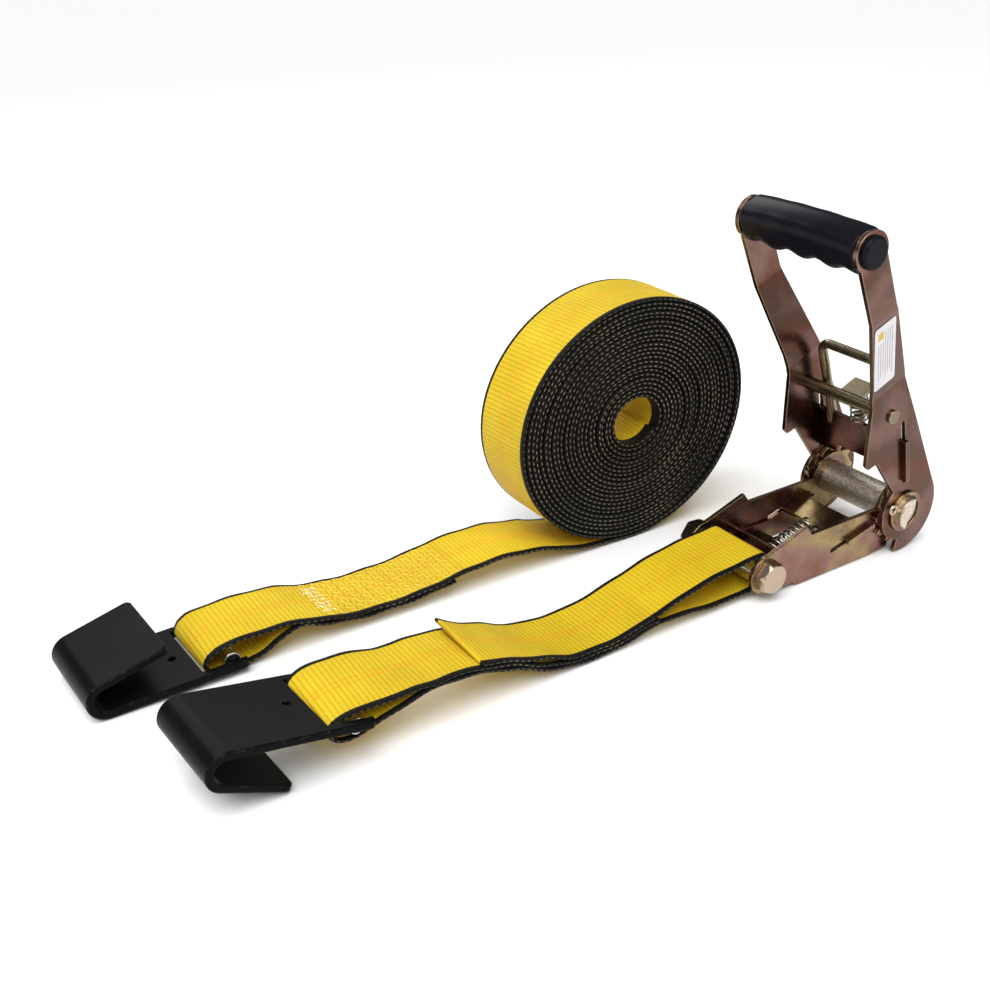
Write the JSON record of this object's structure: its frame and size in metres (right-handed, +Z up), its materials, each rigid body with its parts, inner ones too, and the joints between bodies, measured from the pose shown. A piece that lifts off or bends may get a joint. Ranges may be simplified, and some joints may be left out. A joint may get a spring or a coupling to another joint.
{
  "type": "ratchet tie down",
  "caption": "Ratchet tie-down with a long-handled ratchet, a short sewn strap, a rolled adjustable strap and flat hooks, for lashing cargo to a trailer.",
  "frame": {"origin": "middle of the whole object's footprint, on the floor that it lies on", "axes": "+X along the straps from the hooks to the ratchet, +Y from the short strap to the rolled strap, +Z up"},
  "size_m": [0.5582, 0.2006, 0.2432],
  "materials": {
    "yellow_zinc_steel": "yellow zinc plate with a brown, pink and olive sheen",
    "bright_zinc_steel": "yellow zinc plate, brighter",
    "silver_zinc_steel": "bright zinc plate",
    "spindle_steel": "rough bar steel, plated",
    "black_oxide_steel": "dark oxide",
    "spring_steel": "bright wire",
    "black_paint": "black paint, half gloss",
    "black_grip_plastic": "moulded, half gloss",
    "yellow_webbing": "woven polyester with black edges and two orange lines",
    "white_label": "printed film, left blank"
  },
  "bodies": {
    "ratchet_base": {"base_plate_near": "yellow_zinc_steel", "base_plate_far": "yellow_zinc_steel", "base_tray": "yellow_zinc_steel", "strap_bolt": "bright_zinc_steel", "strap_bolt_nut": "black_oxide_steel", "bolt_sleeve": "silver_zinc_steel", "base_spring": "spring_steel"},
    "base_pawl": {"base_pawl": "yellow_zinc_steel"},
    "spindle": {"spindle_half_front": "spindle_steel", "spindle_half_rear": "spindle_steel", "ratchet_wheel_near": "yellow_zinc_steel", "ratchet_wheel_far": "yellow_zinc_steel", "spindle_collar": "yellow_zinc_steel", "cotter_pin_near": "bright_zinc_steel", "cotter_pin_far": "bright_zinc_steel"},
    "handle": {"handle_plate_near": "yellow_zinc_steel", "handle_plate_far": "yellow_zinc_steel", "grip": "black_grip_plastic", "grip_bar": "spindle_steel", "handle_crossbar": "yellow_zinc_steel", "grip_cap_near": "black_grip_plastic", "grip_cap_far": "black_grip_plastic", "blank_label": "white_label", "handle_spring": "spring_steel"},
    "handle_pawl": {"handle_pawl": "yellow_zinc_steel", "finger_bar": "bright_zinc_steel"},
    "short_strap": {"short_webbing": "yellow_webbing"},
    "short_hook": {"short_hook_plate": "black_paint", "short_hook_sleeve": "silver_zinc_steel"},
    "long_strap": {"long_webbing_tail": "yellow_webbing", "long_webbing_roll": "yellow_webbing"},
    "long_hook": {"long_hook_plate": "black_paint", "long_hook_sleeve": "silver_zinc_steel"}
  },
  "joints": [
    {"name": "handle_swing", "type": "hinge", "parent": "ratchet_base", "child": "handle", "pos_m": [0.24864, -0.04706, 0.031], "axis": [0, 1, 0], "range_deg": [-62, 100]},
    {"name": "spindle_turn", "type": "hinge", "parent": "ratchet_base", "child": "spindle", "pos_m": [0.24864, -0.04706, 0.031], "axis": [0, 1, 0], "continuous": true},
    {"name": "base_pawl_slide", "type": "slide", "parent": "ratchet_base", "child": "base_pawl", "axis": [-0.9703, 0, -0.2419], "range_m": [0, 0.008], "stiffness_N_per_m": 600, "springref_m": -0.006, "deforming": ["base_spring"]},
    {"name": "handle_pawl_slide", "type": "slide", "parent": "handle", "child": "handle_pawl", "axis": [-0.2045, 0, 0.9789], "range_m": [0, 0.008], "stiffness_N_per_m": 800, "springref_m": -0.006, "deforming": ["handle_spring"]},
    {"name": "short_strap_swing", "type": "hinge", "parent": "ratchet_base", "child": "short_strap", "pos_m": [0.12764, -0.04706, 0.017], "axis": [0, 1, 0], "range_deg": [-80, 3]},
    {"name": "short_hook_swing", "type": "hinge", "parent": "short_strap", "child": "short_hook", "pos_m": [-0.17036, -0.04706, 0.0205], "axis": [0, 1, 0], "range_deg": [-40, 40]},
    {"name": "long_strap_lift", "type": "slide", "parent": "ratchet_base", "child": "long_strap", "axis": [0, 0, 1], "range_m": [0, 0.25]},
    {"name": "long_hook_swing", "type": "hinge", "parent": "long_strap", "child": "long_hook", "pos_m": [-0.18928, 0.06726, 0.0081], "axis": [0.0227, 0.9997, 0], "range_deg": [-40, 40]}
  ]
}
